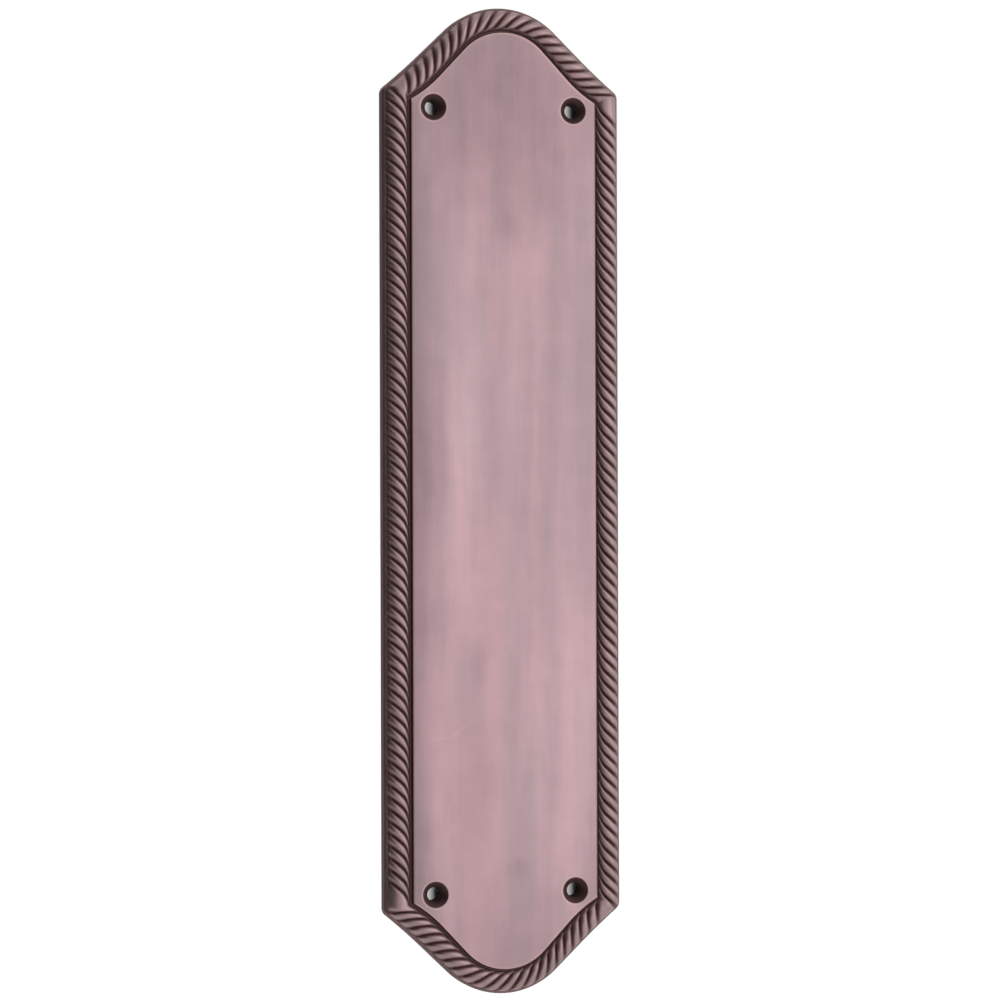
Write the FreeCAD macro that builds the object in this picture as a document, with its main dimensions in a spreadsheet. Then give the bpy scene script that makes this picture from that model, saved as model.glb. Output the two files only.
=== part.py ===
import FreeCAD, Part
import math
import os
import Sketcher

V = FreeCAD.Vector

# Driving dimensions in millimetres and degrees. The plate stands upright: X across, +Z up its length,
# the back on the plane y = 0 and the face towards -Y. The origin is the middle of the back.
SIZES = [
    ("apex_height", 138.0, "middle of the plate to the top of the panel's arch"),
    ("panel_half_width", 28.15, "middle of the plate to the panel's straight edge"),
    ("apex_radius", 16.1, "round of the arch's tip, on the panel's edge"),
    ("shoulder_radius", 40.4, "hollow curve of the arch's shoulder, on the panel's edge"),
    ("flank_angle", 46.8, "slope of the straight flank between the two curves"),
    ("flank_length", 11.1, "length of that straight flank, also on the outer edge"),
    ("border_width", 7.95, "panel's edge to the plate's outer edge, at the straight sides"),
    ("outer_apex_height", 145.5, "middle of the plate to the top of the whole plate"),
    ("outer_apex_radius", 23.6, "round of the arch's tip, on the outer edge"),
    ("outer_shoulder_radius", 180.0, "hollow curve of the arch's shoulder, on the outer edge"),
    ("outer_flank_angle", 43.9, "slope of the straight flank, on the outer edge"),
    ("base_height", 4.4, "back to the outer band and to the floor beside the panel"),
    ("panel_height", 7.2, "back to the panel's face"),
    ("corner_round", 2.6, "round of the outline's four corners"),
    ("band_bevel", 0.6, "softened corner of the outer band"),
    ("panel_bevel", 0.2, "softened corner of the panel"),
    ("rope_radius", 3.45, "half-round of the rope"),
    ("rope_gap", 0.3, "crevice between the panel and the rope"),
    ("rope_crest", 7.6, "back to the crest of the rope"),
    ("rope_root", 2.9, "back to the underside of the rope, inside the base"),
    ("strand_pitch", 3.49, "distance between strands along the border"),
    ("lay_angle", 48.0, "strands against the run of the border"),
    ("groove_depth", 1.0, "depth of the groove between strands at the crest"),
    ("groove_width", 2.1, "width of that groove at the crest"),
    ("hole_across", 42.8, "screw spacing across"),
    ("hole_along", 230.9, "screw spacing along"),
    ("hole_diameter", 4.3, "screw clearance bore"),
    ("sink_diameter", 7.7, "countersink at the face"),
    ("sink_angle", 90.0, "included angle of the countersink"),
    ("boss_diameter", 11.0, "round boss about each bore, behind the panel"),
    ("rim_wall", 2.6, "outer wall beside the hollow back"),
    ("rim_hollow", 2.2, "depth of the hollow under the rope"),
    ("panel_inset", 2.0, "panel's edge to the deeper hollow behind it"),
    ("panel_hollow", 4.8, "depth of the hollow behind the panel"),
]

# Position numbers of a sketch's geometry, and its two axes
START, END, CENTRE = 1, 2, 3
ORIGIN, UPRIGHT = (-1, 1), -2
OUT_OF_SKETCH = V(0, 0, 1)

doc = FreeCAD.newDocument("door_finger_plate")
sheet = doc.addObject("Spreadsheet::Sheet", "plate")
for row, (alias, size, note) in enumerate(SIZES, start=1):
    sheet.set(f"A{row}", alias)
    sheet.set(f"B{row}", str(size))
    sheet.set(f"C{row}", note)
    sheet.setAlias(f"B{row}", alias)
doc.recompute()


def value(alias):
    """A driving dimension as a plain number."""
    return float(getattr(sheet, alias))


def blend(inner, outer, share):
    """A size on the way from the panel's edge to the plate's outer edge."""
    return value(inner) + (value(outer) - value(inner)) * share


def blend_formula(inner, outer, share):
    """The same for the sheet."""
    return f"(plate.{inner} + (plate.{outer} - plate.{inner}) * {share})"


def curvature_formula(share):
    """Curvature of the hollow shoulder on that way, for the sheet."""
    inner, outer = "1 / plate.shoulder_radius", "1 / plate.outer_shoulder_radius"
    return f"({inner} + ({outer} - {inner}) * {share})"


class Ogee:
    """The plate's outline at an offset from the panel's edge: straight sides, an ogee arch at each end.

    The outer edge has a flatter arch than the panel, and the outlines between pass from one to the
    other. The points are those of the upper right quarter, in the plane of the face.
    """

    def __init__(self, offset):
        share = offset / value("border_width")
        self.slope = math.radians(blend("flank_angle", "outer_flank_angle", share))
        along = V(math.cos(self.slope), -math.sin(self.slope))
        away = V(math.sin(self.slope), math.cos(self.slope))
        self.flank_length = value("flank_length")
        self.tip_radius = blend("apex_radius", "outer_apex_radius", share)
        inner_curve = 1 / value("shoulder_radius")
        outer_curve = 1 / value("outer_shoulder_radius")
        self.hollow_radius = 1 / (inner_curve + (outer_curve - inner_curve) * share)
        self.half_width = value("panel_half_width") + offset
        self.tip_centre = V(0, blend("apex_height", "outer_apex_height", share) - self.tip_radius)
        self.flank_top = self.tip_centre + away * self.tip_radius
        self.flank_foot = self.flank_top + along * self.flank_length
        self.hollow_centre = self.flank_foot + away * self.hollow_radius
        reach = self.hollow_centre.x - self.half_width
        self.corner_slope = math.asin(reach / self.hollow_radius)
        drop = self.hollow_radius * math.cos(self.corner_slope)
        self.corner = V(self.half_width, self.hollow_centre.y - drop)

    def arch_length(self):
        """Length of one whole arch, from corner to corner."""
        hollow = self.hollow_radius * (self.slope - self.corner_slope)
        return 2 * (hollow + self.flank_length + self.slope * self.tip_radius)

    def along_arch(self, distance):
        """Point and strand heading at a distance along the upper arch, from the left corner to the
        right one. Through the hollow shoulders the strands keep the heading of the flank."""
        half = self.arch_length() / 2
        side = -1 if distance < half else 1
        from_tip = abs(distance - half)
        tip = self.slope * self.tip_radius
        if from_tip <= tip:
            turn = from_tip / self.tip_radius
            point = self.tip_centre + V(math.sin(turn), math.cos(turn)) * self.tip_radius
            heading = turn
        elif from_tip <= tip + self.flank_length:
            part = (from_tip - tip) / self.flank_length
            point = self.flank_top + (self.flank_foot - self.flank_top) * part
            heading = self.slope
        else:
            turn = self.slope - (from_tip - tip - self.flank_length) / self.hollow_radius
            point = self.hollow_centre - V(math.sin(turn), math.cos(turn)) * self.hollow_radius
            heading = self.slope
        return V(point.x * side, point.y), -heading * side


def new_sketch(body, name, role="XZ_Plane"):
    """A sketch on one of the body's own origin planes, the plate's back unless another is named."""
    sketch = body.newObject("Sketcher::SketchObject", name)
    plane = [item for item in body.Origin.OriginFeatures if item.Role == role][0]
    sketch.AttachmentSupport = [(plane, "")]
    sketch.MapMode = "FlatFace"
    return sketch


def raise_sketch(sketch, expression):
    """Lift a sketch from the plate's back towards its face."""
    sketch.setExpression("AttachmentOffset.Base.z", expression)


def bind(sketch, name, expression, *constraint):
    """Give a sketch a named dimension that follows the sheet."""
    index = sketch.addConstraint(Sketcher.Constraint(*constraint))
    sketch.renameConstraint(index, name)
    sketch.setExpression(f"Constraints.{name}", expression)


def join(sketch, kind, *places):
    sketch.addConstraint(Sketcher.Constraint(kind, *places))


def draw_ogee(sketch, offset, expression):
    """Draw the outline, moved outwards by an offset, and tie all its sizes to the sheet."""
    ogee = Ogee(offset)
    tips = {}
    sides = {}
    for end in (1, -1):
        circle = Part.Circle(ogee.tip_centre * end, OUT_OF_SKETCH, ogee.tip_radius)
        middle = math.pi / 2 * end
        tips[end] = sketch.addGeometry(Part.ArcOfCircle(circle, middle - ogee.slope, middle + ogee.slope))
        join(sketch, "PointOnObject", tips[end], CENTRE, UPRIGHT)
    for side in (1, -1):
        top = V(ogee.corner.x * side, ogee.corner.y)
        foot = V(ogee.corner.x * side, -ogee.corner.y)
        sides[side] = sketch.addGeometry(Part.LineSegment(top, foot))
        join(sketch, "Vertical", sides[side])

    flanks = {}
    hollows = {}
    for side in (1, -1):
        for end in (1, -1):
            def place(point):
                return V(point.x * side, point.y * end)

            def bearing(slope):
                return math.atan2(-math.cos(slope) * end, -math.sin(slope) * side)

            quarter = (side, end)
            turns_left = side * end > 0
            circle = Part.Circle(place(ogee.hollow_centre), OUT_OF_SKETCH, ogee.hollow_radius)
            limits = [bearing(ogee.slope), bearing(ogee.corner_slope)]
            if not turns_left:
                limits.reverse()
            flank = sketch.addGeometry(Part.LineSegment(place(ogee.flank_foot), place(ogee.flank_top)))
            hollow = sketch.addGeometry(Part.ArcOfCircle(circle, *limits))
            tip_place = START if turns_left else END
            flank_place = START if turns_left else END
            corner_place = END if turns_left else START
            side_place = START if end > 0 else END
            join(sketch, "Tangent", tips[end], tip_place, flank, END)
            join(sketch, "Tangent", flank, START, hollow, flank_place)
            join(sketch, "Coincident", hollow, corner_place, sides[side], side_place)
            flanks[quarter] = flank
            hollows[quarter] = hollow

    top_right = (1, 1)
    top_left = (-1, 1)
    join(sketch, "Parallel", flanks[top_right], flanks[(-1, -1)])
    join(sketch, "Parallel", flanks[top_left], flanks[(1, -1)])
    join(sketch, "Equal", tips[1], tips[-1])
    for quarter in flanks:
        if quarter != top_right:
            join(sketch, "Equal", flanks[top_right], flanks[quarter])
            join(sketch, "Equal", hollows[top_right], hollows[quarter])
    tip_height = ogee.tip_centre.y
    share = f"({expression}) / plate.border_width"
    radius = blend_formula("apex_radius", "outer_apex_radius", share)
    height = blend_formula("apex_height", "outer_apex_height", share)
    slope = blend_formula("flank_angle", "outer_flank_angle", share)
    bind(sketch, "tip_radius", radius, "Radius", tips[1], ogee.tip_radius)
    bind(sketch, "hollow_radius", f"1 / {curvature_formula(share)}",
         "Radius", hollows[top_right], ogee.hollow_radius)
    bind(sketch, "flank_length", "plate.flank_length",
         "Distance", flanks[top_right], ogee.flank_length)
    bind(sketch, "left_slope", slope, "Angle", flanks[top_left], ogee.slope)
    bind(sketch, "right_slope", f"180 - {slope}", "Angle", flanks[top_right], math.pi - ogee.slope)
    bind(sketch, "upper_tip", f"{height} - {radius}",
         "DistanceY", *ORIGIN, tips[1], CENTRE, tip_height)
    bind(sketch, "lower_tip", f"{height} - {radius}",
         "DistanceY", tips[-1], CENTRE, *ORIGIN, tip_height)
    bind(sketch, "right_side", f"plate.panel_half_width + ({expression})",
         "DistanceX", *ORIGIN, sides[1], START, ogee.half_width)
    bind(sketch, "left_side", f"plate.panel_half_width + ({expression})",
         "DistanceX", sides[-1], START, *ORIGIN, ogee.half_width)


def draw_screw_circles(sketch, alias):
    """Four circles on the screw centres, of the diameter that the sheet gives."""
    half_across = value("hole_across") / 2
    half_along = value("hole_along") / 2
    first = None
    for side in (1, -1):
        for end in (1, -1):
            centre = V(half_across * side, half_along * end)
            circle = sketch.addGeometry(Part.Circle(centre, OUT_OF_SKETCH, value(alias) / 2))
            label = f"{'right' if side > 0 else 'left'}_{'top' if end > 0 else 'bottom'}"
            across = [*ORIGIN, circle, CENTRE] if side > 0 else [circle, CENTRE, *ORIGIN]
            along = [*ORIGIN, circle, CENTRE] if end > 0 else [circle, CENTRE, *ORIGIN]
            bind(sketch, f"across_{label}", "plate.hole_across / 2", "DistanceX", *across, half_across)
            bind(sketch, f"along_{label}", "plate.hole_along / 2", "DistanceY", *along, half_along)
            if first is None:
                first = circle
                bind(sketch, "diameter", f"plate.{alias}", "Diameter", circle, value(alias))
            else:
                join(sketch, "Equal", first, circle)


def edges_at(shape, height):
    """Names of the edges that lie flat at a height above the plate's back."""
    names = []
    for number, edge in enumerate(shape.Edges, start=1):
        if all(abs(vertex.Point.y + height) < 1e-6 for vertex in edge.Vertexes):
            names.append(f"Edge{number}")
    return names


def corner_edges(shape, corner):
    """Names of the edges from back to face at the outline's four corners."""
    names = []
    for number, edge in enumerate(shape.Edges, start=1):
        start, end = [vertex.Point for vertex in edge.Vertexes]
        at_corner = abs(abs(start.x) - corner.x) < 1e-4 and abs(abs(start.z) - corner.y) < 1e-4
        if at_corner and abs(start.y - end.y) > 1e-4:
            names.append(f"Edge{number}")
    return names


def pad(body, name, sketch, length):
    feature = body.newObject("PartDesign::Pad", name)
    feature.Profile = sketch
    feature.setExpression("Length", length)
    doc.recompute()
    return feature


def pocket_from_back(body, name, sketch, length):
    """Sink a pocket from the plate's back towards its face."""
    before = body.Shape.Volume
    feature = body.newObject("PartDesign::Pocket", name)
    feature.Profile = sketch
    feature.setExpression("Length", length)
    feature.Reversed = True
    doc.recompute()
    assert feature.Shape.Volume < before, name
    return feature


# The casting without its rope: a flat base with a rounded band and the raised panel
casting = doc.addObject("PartDesign::Body", "casting")
outline = new_sketch(casting, "outline")
draw_ogee(outline, value("border_width"), "plate.border_width")
base = pad(casting, "base", outline, "plate.base_height")

corners = casting.newObject("PartDesign::Fillet", "corners")
corners.Base = (base, corner_edges(base.Shape, Ogee(value("border_width")).corner))
corners.setExpression("Radius", "plate.corner_round")
doc.recompute()

band = casting.newObject("PartDesign::Chamfer", "band")
band.Base = (corners, edges_at(corners.Shape, value("base_height")))
band.setExpression("Size", "plate.band_bevel")
doc.recompute()

panel_edge = new_sketch(casting, "panel_edge")
draw_ogee(panel_edge, 0.0, "0")
panel = pad(casting, "panel", panel_edge, "plate.panel_height")

panel_corner = casting.newObject("PartDesign::Chamfer", "panel_corner")
panel_corner.Base = (panel, edges_at(panel.Shape, value("panel_height")))
panel_corner.setExpression("Size", "plate.panel_bevel")
doc.recompute()

# The hollow back, with a boss about each bore that bears on the door
rim_edge = new_sketch(casting, "rim_edge")
draw_ogee(rim_edge, value("border_width") - value("rim_wall"), "plate.border_width - plate.rim_wall")
pocket_from_back(casting, "rim_recess", rim_edge, "plate.rim_hollow")

recess_edge = new_sketch(casting, "recess_edge")
draw_ogee(recess_edge, -value("panel_inset"), "-plate.panel_inset")
pocket_from_back(casting, "panel_recess", recess_edge, "plate.panel_hollow")

boss_circles = new_sketch(casting, "boss_circles")
draw_screw_circles(boss_circles, "boss_diameter")
pad(casting, "bosses", boss_circles, "(plate.panel_hollow + plate.panel_height) / 2")

# Four bores, countersunk from the face
screw_circles = new_sketch(casting, "screw_circles")
draw_screw_circles(screw_circles, "hole_diameter")
raise_sketch(screw_circles, "plate.panel_height")
doc.recompute()
solid_volume = casting.Shape.Volume
holes = casting.newObject("PartDesign::Hole", "holes")
holes.Profile = screw_circles
holes.DepthType = "ThroughAll"
holes.ThreadType = "None"
holes.setExpression("Diameter", "plate.hole_diameter")
holes.HoleCutType = "Countersink"
holes.HoleCutCustomValues = True
holes.setExpression("HoleCutDiameter", "plate.sink_diameter")
holes.setExpression("HoleCutCountersinkAngle", "plate.sink_angle")
doc.recompute()
assert holes.Shape.Volume < solid_volume

# The rope's half-round: a ridge of five flats that follows the outline and is mitred at the corners.
# The turns are those of its corners from the crest, in degrees.
FOOT_TURN = 90
HIP_TURN = 54
CREST_TURN = 18
crest_rise = value("rope_radius") * math.cos(math.radians(CREST_TURN))
rope_centre = value("rope_crest") - crest_rise


def rope_sections(body, name, side):
    """Outlines up one side of the half-round, from its root: side is 1 outside and -1 inside."""
    middle = value("rope_gap") + value("rope_radius")
    sign = "+" if side > 0 else "-"
    sections = []
    for number, turn in enumerate((FOOT_TURN, FOOT_TURN, HIP_TURN, CREST_TURN)):
        offset = middle + side * value("rope_radius") * math.sin(math.radians(turn))
        sketch = new_sketch(body, f"{name}_{number}")
        draw_ogee(sketch, offset, f"plate.rope_gap + plate.rope_radius * (1 {sign} sin({turn} deg))")
        rise = f"plate.rope_radius * (cos({turn} deg) - cos({CREST_TURN} deg))"
        raise_sketch(sketch, "plate.rope_root" if number == 0 else f"plate.rope_crest + {rise}")
        sections.append(sketch)
    doc.recompute()
    return sections


def loft(body, kind, name, sections):
    feature = body.newObject(kind, name)
    feature.Profile = sections[0]
    feature.Sections = sections[1:]
    feature.Ruled = True
    doc.recompute()
    return feature


rope = doc.addObject("PartDesign::Body", "rope")
loft(rope, "PartDesign::AdditiveLoft", "rope_outside", rope_sections(rope, "outside", 1))
loft(rope, "PartDesign::SubtractiveLoft", "rope_inside", rope_sections(rope, "inside", -1))

# The grooves between the strands, each cut in three strokes over the half-round
STROKE_TURN = math.radians(27)
OVERCUT = 0.5


def groove_tool():
    """V-shaped cutter across the rope at the origin, its run along X and its cut towards the back."""
    depth = value("groove_depth")
    lean = math.sin(math.radians(value("lay_angle")))
    foot = value("rope_radius") / lean - depth
    shoulder = foot * math.sin(STROKE_TURN)
    rise = crest_rise - depth
    bottom = [V(-foot, 0), V(-shoulder, -rise), V(shoulder, -rise), V(foot, 0)]
    growth = (crest_rise + OVERCUT) / rise
    half_width = value("groove_width") / 2 * (depth + OVERCUT) / depth
    left = [point * growth + V(0, 0, half_width) for point in bottom]
    right = [point * growth - V(0, 0, half_width) for point in bottom]
    outlines = [[bottom[0], left[0], right[0]], [bottom[-1], left[-1], right[-1]]]
    for number in range(len(bottom) - 1):
        for lower, upper in ((bottom, left), (bottom, right), (left, right)):
            outlines.append([lower[number], lower[number + 1], upper[number + 1], upper[number]])
    faces = [Part.Face(Part.makePolygon(outline + outline[:1])) for outline in outlines]
    tool = Part.Solid(Part.Shell(faces))
    tool.fix(1e-7, 1e-7, 1e-7)
    tool.translate(V(0, -rope_centre, 0))
    return tool


def strand_stations(length, mitre_reach, first_lay, last_lay):
    """Even stations along a run, from a groove out of the first corner to one into the last.

    The mitre's reach is how far it runs along the border from the crest to the rope's foot, and the
    lays are the angles of the first and the last groove against the run.
    """
    first = mitre_reach + value("rope_radius") / math.tan(first_lay)
    last = length + mitre_reach - value("rope_radius") / math.tan(last_lay)
    count = round((last - first) / value("strand_pitch"))
    return [first + (last - first) * number / count for number in range(count + 1)]


def groove_tools():
    """Cutters for the right side and the upper arch, and the same again turned half round."""
    middle = value("rope_gap") + value("rope_radius")
    line = Ogee(middle)
    mitre = Ogee(middle + value("rope_radius")).corner - line.corner
    into_corner = V(math.cos(line.corner_slope), -math.sin(line.corner_slope))
    lay = math.radians(value("lay_angle"))
    bend = line.slope - line.corner_slope
    places = []
    for distance in strand_stations(2 * line.corner.y, mitre.y, lay, lay):
        places.append((V(line.corner.x, line.corner.y - distance), -math.pi / 2))
    for distance in strand_stations(line.arch_length(), mitre.dot(into_corner), lay + bend, lay - bend):
        places.append(line.along_arch(distance))
    tool = groove_tool()
    tools = []
    for point, heading in places:
        for half_turn in (0, 180):
            angle = math.degrees(heading) + value("lay_angle") + half_turn
            spot = V(point.x, 0, point.y) if half_turn == 0 else V(-point.x, 0, -point.y)
            bearing = FreeCAD.Rotation(V(0, 1, 0), -angle)
            placed = tool.copy()
            placed.Placement = FreeCAD.Placement(spot, bearing) * tool.Placement
            tools.append(placed)
    return tools


grooves = doc.addObject("Part::Feature", "strand_grooves")
grooves.Shape = Part.makeCompound(groove_tools())

carved_rope = doc.addObject("Part::Cut", "carved_rope")
carved_rope.Base = rope
carved_rope.Tool = grooves

# One casting
finger_plate = doc.addObject("Part::Fuse", "finger_plate")
finger_plate.Base = casting
finger_plate.Tool = carved_rope
finger_plate.Label = "finger_plate"
doc.recompute()

for item in doc.Objects:
    assert "Invalid" not in item.State and "Error" not in item.State, item.Name
assert not finger_plate.Shape.isNull() and finger_plate.Shape.isValid()
assert len(finger_plate.Shape.Solids) == 1

os.makedirs("parts", exist_ok=True)
finger_plate.Shape.exportStep("parts/finger_plate.step")
volume = round(finger_plate.Shape.Volume / 1000, 2)
print("finger_plate", volume, "cm3", len(finger_plate.Shape.Faces), "faces")
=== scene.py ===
"""Looks of a cast door finger plate with a rope border, in metres, in the frame of its solids."""
import math

import bpy
import numpy as np
from bpy.props import FloatProperty, FloatVectorProperty, IntProperty, PointerProperty
from mathutils import Matrix, Vector
from mathutils.geometry import delaunay_2d_cdt


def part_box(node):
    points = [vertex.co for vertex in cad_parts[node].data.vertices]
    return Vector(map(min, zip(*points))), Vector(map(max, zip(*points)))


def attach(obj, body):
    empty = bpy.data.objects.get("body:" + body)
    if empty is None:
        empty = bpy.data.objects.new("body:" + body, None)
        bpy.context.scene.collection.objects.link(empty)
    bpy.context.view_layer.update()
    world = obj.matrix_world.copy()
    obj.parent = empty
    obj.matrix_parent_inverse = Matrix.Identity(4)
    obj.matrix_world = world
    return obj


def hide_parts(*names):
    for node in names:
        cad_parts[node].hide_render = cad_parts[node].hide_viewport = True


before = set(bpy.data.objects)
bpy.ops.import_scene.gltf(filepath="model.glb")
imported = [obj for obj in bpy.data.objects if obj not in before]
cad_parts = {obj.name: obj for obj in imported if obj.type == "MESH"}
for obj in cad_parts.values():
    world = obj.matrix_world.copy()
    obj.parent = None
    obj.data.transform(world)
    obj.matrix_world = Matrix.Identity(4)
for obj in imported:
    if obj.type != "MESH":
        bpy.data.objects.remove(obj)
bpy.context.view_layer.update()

bl_info = {
    "name": "Door finger plate",
    "version": (1, 0, 0),
    "blender": (4, 5, 0),
    "location": "View3D > Sidebar > Finger plate",
    "description": "Builds a cast finger plate with a rope border and its plain studio",
    "category": "Add Mesh",
}

NODE = "finger_plate"
PIECE = "plate_casting"
LOW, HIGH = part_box(NODE)
MM = 0.001
TURN = 2 * math.pi


def length(name, description, millimetres):
    return FloatProperty(name=name, description=description, default=millimetres * MM, unit="LENGTH",
                         subtype="DISTANCE", precision=5)


def angle(name, description, degrees):
    return FloatProperty(name=name, description=description, default=math.radians(degrees),
                         unit="ROTATION", subtype="ANGLE")


def share(name, description, default, low=0.0, high=1.0):
    return FloatProperty(name=name, description=description, default=default, min=low, max=high)


def colour(name, description, default):
    return FloatVectorProperty(name=name, description=description, default=default, size=3,
                               subtype="COLOR", min=0.0, max=1.0)


class PlateSizes(bpy.types.PropertyGroup):
    """Outline and section of the plate."""
    apex_height: length("Apex height", "Middle of the plate to the top of the panel's arch", 138.0)
    half_width: length("Panel half width", "Middle of the plate to the panel's straight edge", 28.15)
    tip_radius: length("Tip radius", "Round of the arch's tip, on the panel's edge", 16.1)
    shoulder_radius: length("Shoulder radius", "Hollow of the arch's shoulder, on the panel's edge", 40.4)
    flank_angle: angle("Flank angle", "Slope of the arch's straight flank", 46.8)
    flank_length: length("Flank length", "Length of that straight flank", 11.1)
    border_width: length("Border width", "Panel's edge to the plate's outer edge", HIGH.x / MM - 28.15)
    band_height: length("Band height", "Back to the outer band", 4.4)
    crevice_depth: length("Crevice depth", "Panel's face to the crevice beside it", 1.5)
    panel_height: length("Panel height", "Back to the panel's face", 7.2)
    band_bevel: length("Band bevel", "Slanted outer band beside the rope", 0.7)
    outer_tip_radius: length("Outer tip radius", "Round of the arch's tip, on the outer edge", 23.6)
    outer_shoulder_radius: length("Outer shoulder radius", "Hollow of the shoulder, on the outer edge",
                                  180.0)
    outer_flank_angle: angle("Outer flank angle", "Slope of the flank, on the outer edge", 43.9)
    corner_round: length("Corner rounding", "Round of the outline's four corners", 2.6)
    rim_wall: length("Rim wall", "Outer wall beside the hollow back", 2.6)
    rim_hollow: length("Rim hollow", "Depth of the hollow under the rope", 2.2)
    panel_inset: length("Panel inset", "Panel's edge to the deeper hollow behind it", 2.0)
    panel_hollow: length("Panel hollow", "Depth of the hollow behind the panel", 4.8)
    hole_across: length("Hole spacing across", "Screw spacing across", 42.8)
    hole_along: length("Hole spacing along", "Screw spacing along", 230.9)
    bore_radius: length("Bore radius", "Screw clearance bore", 2.15)
    sink_radius: length("Countersink radius", "Countersink at the face", 3.85)
    boss_radius: length("Boss radius", "Round boss behind each hole", 5.5)


class RopeSizes(bpy.types.PropertyGroup):
    """The rope moulding of the border."""
    radius: length("Rope radius", "Half-round of the rope", 3.45)
    gap: length("Crevice", "Crevice between the panel and the rope", 0.3)
    crest: length("Crest height", "Back to the crest of the rope", -LOW.y / MM)
    pitch: length("Strand pitch", "Distance between strands along the border", 3.52)
    side_head: length("Side head", "How far the first strand of a side is moved along it", -1.05)
    side_tail: length("Side tail", "The same for its last strand", 0.88)
    lay: share("Lay", "Run along the border for each step outwards, at the crest", 0.88, 0.0, 3.0)
    fan_in: share("Fan into the arch", "How strands turn in the shoulder where an arch starts: 1 keeps "
                  "the flank's heading", 1.4, 0.0, 4.0)
    fan_out: share("Fan out of the arch", "The same in the shoulder where it ends", 1.0, 0.0, 2.0)
    lay_curve: share("Lay curve", "How much steeper a side's strand lies on the panel's side", 0.15,
                     0.0, 2.0)
    lay_sweep: share("Lay sweep", "How much steeper a strand lies at both feet", 0.05, 0.0, 2.0)
    lay_hook: share("Lay hook", "How much steeper still it lies at the panel's foot, on the sides",
                    1.8, 0.0, 3.0)
    groove_depth: length("Groove depth", "Depth of the groove between two strands", 0.95)
    roundness: share("Strand roundness", "Higher is a flatter strand with a narrower groove", 2.2, 1.0, 6.0)
    unevenness: length("Unevenness", "How much the hand-finished strands differ in height", 0.06)
    steps: IntProperty(name="Steps", description="Mesh steps in each strand", default=10, min=4, max=14)
    rows: IntProperty(name="Rows", description="Mesh rows over the rope", default=18, min=8, max=30)


class CopperColours(bpy.types.PropertyGroup):
    """Antique copper, rubbed bright on what stands out and dark in the hollows, partly patina and partly
    painted shade, with a painted highlight on some edges.
    """
    pink: colour("Rubbed pink", "Polished copper on the face", (0.464, 0.292, 0.320))
    grey: colour("Rubbed grey", "Cooler streaks on the face", (0.375, 0.276, 0.292))
    crest: colour("Strand crest", "Rubbed crest of a strand", (0.250, 0.178, 0.176))
    # The bright edge colour is polished wear and a painted highlight.
    edge: colour("Bright edge", "Thin polished edges", (0.52, 0.34, 0.33))
    # Patina is real in the grooves; the same colour also paints shade beside the panel and at the band's
    # foot.
    patina: colour("Patina and painted shade", "Dark brown of the grooves", (0.095, 0.037, 0.034))
    # The crevice colour is painted shade, near black, for the bottoms of crevices and hollows.
    crevice: colour("Crevice", "Near black at the bottom of the hollows", (0.050, 0.021, 0.019))
    wall: colour("Side wall", "Brown grey of the outer wall", (0.075, 0.058, 0.056))


class StageSettings(bpy.types.PropertyGroup):
    """Plain pale floor, soft studio light and the camera."""
    floor_drop: length("Floor drop", "Plate's lower tip to the floor", 250.0)
    fill: share("Fill", "Level of the light from all round", 0.75, 0.0, 3.0)
    key_power: FloatProperty(name="Key light", description="Power of the large light on the right",
                             default=6.0, unit="POWER")
    lens: FloatProperty(name="Lens", description="Focal length on a 36 mm sensor", default=130.86,
                        unit="CAMERA")
    distance: length("Camera distance", "Camera to the plate's face", 1070.5)
    aim_across: length("Aim across", "Middle of the plate to where the camera looks", -1.5)
    aim_up: length("Aim up", "The same, upwards", 0.2)
    yaw: angle("Yaw", "Camera to the left of the plate's normal", 15.9)
    pitch: angle("Pitch", "Camera below the plate's normal", 0.18)
    roll: angle("Roll", "Camera's roll", 0.18)


# The plate's outline

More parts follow.
